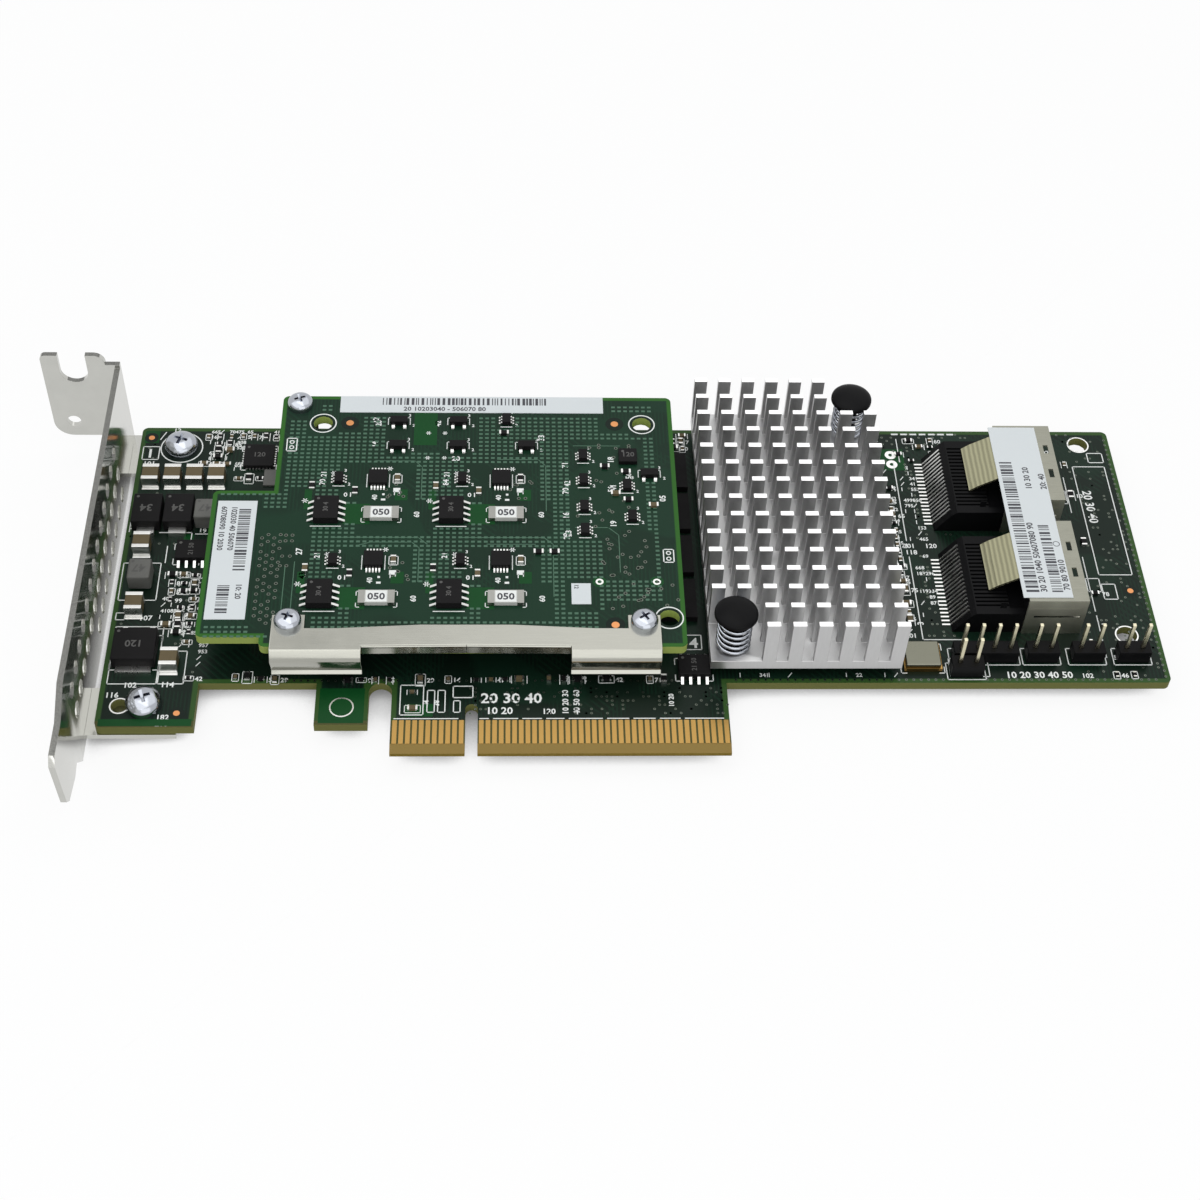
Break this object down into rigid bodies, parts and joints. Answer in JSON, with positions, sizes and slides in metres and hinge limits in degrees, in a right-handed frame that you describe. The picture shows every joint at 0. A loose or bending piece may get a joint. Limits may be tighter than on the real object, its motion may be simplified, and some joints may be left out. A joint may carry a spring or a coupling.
{
  "type": "raid controller card",
  "caption": "Low-profile RAID controller card with a slotted bracket, pin-fin heatsink, two right-angle drive ports and a power daughter board on standoffs",
  "frame": {"origin": "middle of the key notch on the contact edge, on the underside of the main board", "axes": "+X along the card away from the bracket, +Y from the contact edge to the far edge, +Z out of the component side"},
  "size_m": [0.179, 0.0807, 0.0218],
  "materials": {
    "board_dark": "solder mask, near-black green",
    "board_green": "solder mask, mid green",
    "gold_plate": "gold flash over nickel",
    "bracket_steel": "nickel-plated sheet steel",
    "screw_steel": "zinc-plated steel",
    "sink_aluminium": "plain extruded and sawn",
    "black_nylon": "moulded",
    "package_black": "moulded epoxy",
    "grey_pad": "thermal pad",
    "tinned_copper": "tin plate",
    "nickel_cage": "nickel-plated copper alloy",
    "label_paper": "coated label",
    "brass_standoff": "turned hexagon",
    "ivory_plastic": "moulded",
    "white_ceramic": "glazed alumina with tinned ends",
    "tan_ceramic": "ceramic with tinned ends",
    "grey_ferrite": "moulded ferrite",
    "lid_metal": "soldered lid"
  },
  "bodies": {
    "root": {"main_board": "board_dark", "edge_contacts": "gold_plate", "mounting_bracket": "bracket_steel", "bracket_screws": "screw_steel", "heatsink": "sink_aluminium", "push_pins": "black_nylon", "push_pin_springs": "screw_steel", "controller_chip": "package_black", "thermal_pad": "grey_pad", "memory_chips": "package_black", "lower_port_housing": "black_nylon", "upper_port_housing": "black_nylon", "lower_port_contacts": "tinned_copper", "upper_port_contacts": "tinned_copper", "lower_port_cage": "nickel_cage", "upper_port_cage": "nickel_cage", "port_label": "label_paper", "daughter_board": "board_green", "board_standoffs": "brass_standoff", "daughter_screws": "screw_steel", "retention_strip": "bracket_steel", "stack_sockets": "ivory_plastic", "stack_plugs": "black_nylon", "serial_label": "label_paper", "side_label": "label_paper", "square_label": "label_paper", "switch_chips": "package_black", "switch_chip_leads": "tinned_copper", "monitor_chips": "package_black", "sense_resistors": "white_ceramic", "transistors": "package_black", "logic_chips": "package_black", "input_capacitors": "tan_ceramic", "power_diodes": "package_black", "power_diode_terminals": "tinned_copper", "inductors": "grey_ferrite", "regulator": "package_black", "regulator_tab": "tinned_copper", "driver_chips": "package_black", "driver_chip_leads": "tinned_copper", "quad_chips": "package_black", "oscillator_base": "gold_plate", "oscillator_lid": "lid_metal", "header_housings": "black_nylon", "header_pins": "tinned_copper"}
  },
  "joints": []
}
